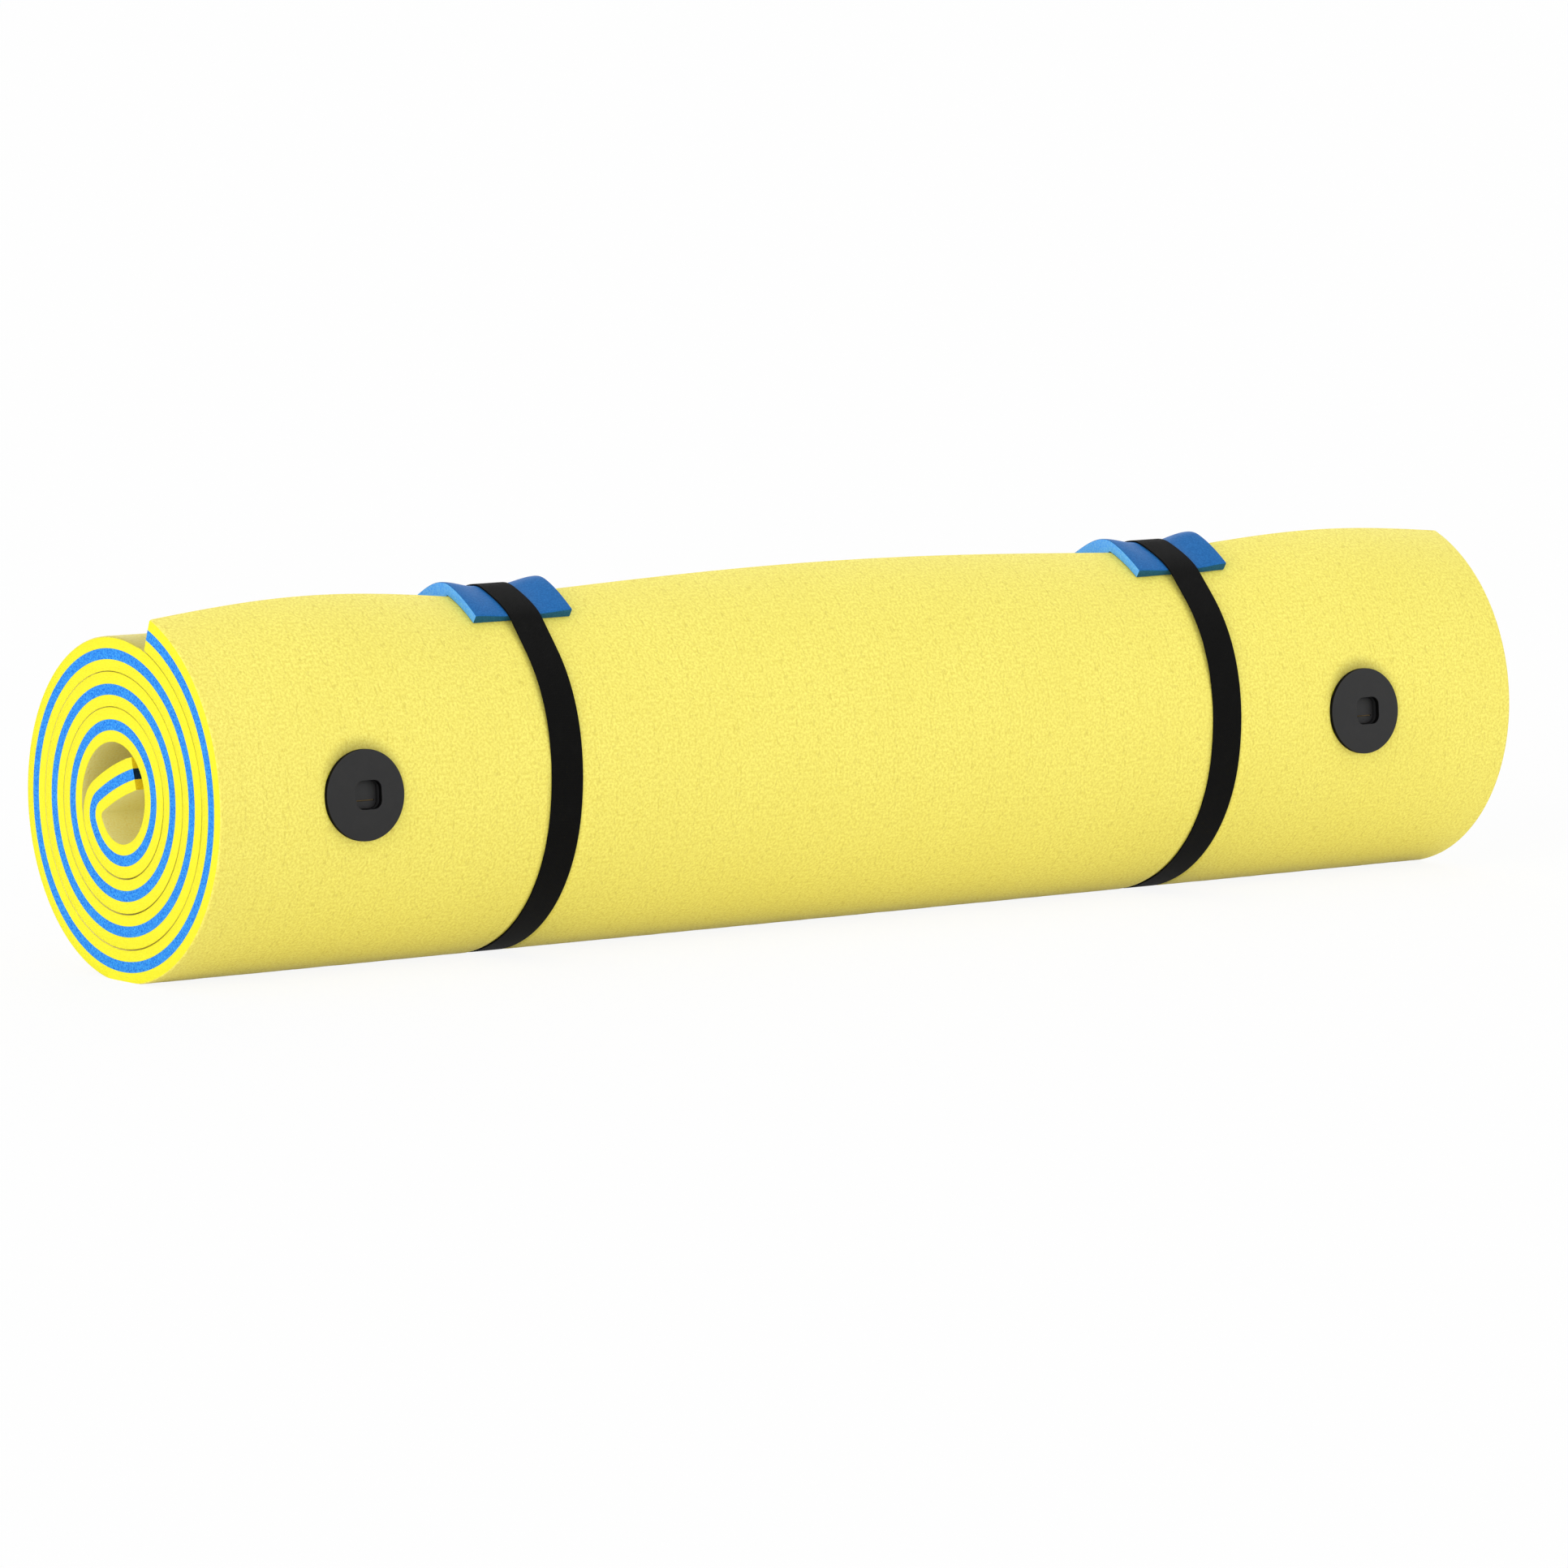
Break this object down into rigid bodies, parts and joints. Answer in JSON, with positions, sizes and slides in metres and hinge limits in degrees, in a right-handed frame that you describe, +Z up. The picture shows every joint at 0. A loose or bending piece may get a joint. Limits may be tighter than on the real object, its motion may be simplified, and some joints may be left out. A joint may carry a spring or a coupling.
{
  "type": "rolled swim float mat",
  "caption": "Rolled-up foam float mat of bonded yellow and blue layers, with round mooring anchors and hook-and-loop belts that bear on bent foam pads.",
  "frame": {"origin": "middle of the bounding box in X and Y, on the plane the roll rests on", "axes": "+X along the roll, towards the right end; -Y towards the front, where the anchors are; +Z up"},
  "size_m": [1.83, 0.4162, 0.4227],
  "materials": {
    "yellow_foam": "closed-cell foam, matt skin with a fine grain",
    "blue_foam": "closed-cell foam, matt, cut faces with fine cells",
    "anchor_plastic": "moulded black plastic, satin",
    "webbing": "black woven webbing",
    "loop_pile": "black loop pile",
    "hook_tape": "black hook tape",
    "ring_plastic": "smooth black plastic",
    "tab_rubber": "matt black rubber"
  },
  "bodies": {
    "roll": {"foam_outer_layer": "yellow_foam", "foam_core_layer": "blue_foam", "foam_inner_layer": "yellow_foam", "left_belt_webbing": "webbing", "left_belt_ring": "ring_plastic", "left_loop_patch": "loop_pile", "left_pad": "blue_foam", "right_belt_webbing": "webbing", "right_belt_ring": "ring_plastic", "right_loop_patch": "loop_pile", "right_pad": "blue_foam"},
    "left_anchor": {"left_anchor_front_plate": "anchor_plastic", "left_anchor_back_plate": "anchor_plastic"},
    "left_tail": {"left_belt_tail": "webbing", "left_hook_patch": "hook_tape", "left_pull_tab": "tab_rubber"},
    "right_anchor": {"right_anchor_front_plate": "anchor_plastic", "right_anchor_back_plate": "anchor_plastic"},
    "right_tail": {"right_belt_tail": "webbing", "right_hook_patch": "hook_tape", "right_pull_tab": "tab_rubber"}
  },
  "joints": [
    {"name": "left_anchor_swivel", "type": "hinge", "parent": "roll", "child": "left_anchor", "pos_m": [-0.7296, -0.20154, 0.21137], "axis": [0, -0.9981, 0.061], "continuous": true},
    {"name": "left_tail_peel", "type": "hinge", "parent": "roll", "child": "left_tail", "pos_m": [-0.46, 0.18988, 0.27215], "axis": [1, 0, 0], "range_deg": [0, 120]},
    {"name": "right_anchor_swivel", "type": "hinge", "parent": "roll", "child": "right_anchor", "pos_m": [0.6867, -0.20154, 0.21137], "axis": [0, -0.9981, 0.061], "continuous": true},
    {"name": "right_tail_peel", "type": "hinge", "parent": "roll", "child": "right_tail", "pos_m": [0.4795, 0.18988, 0.27215], "axis": [1, 0, 0], "range_deg": [0, 120]}
  ]
}
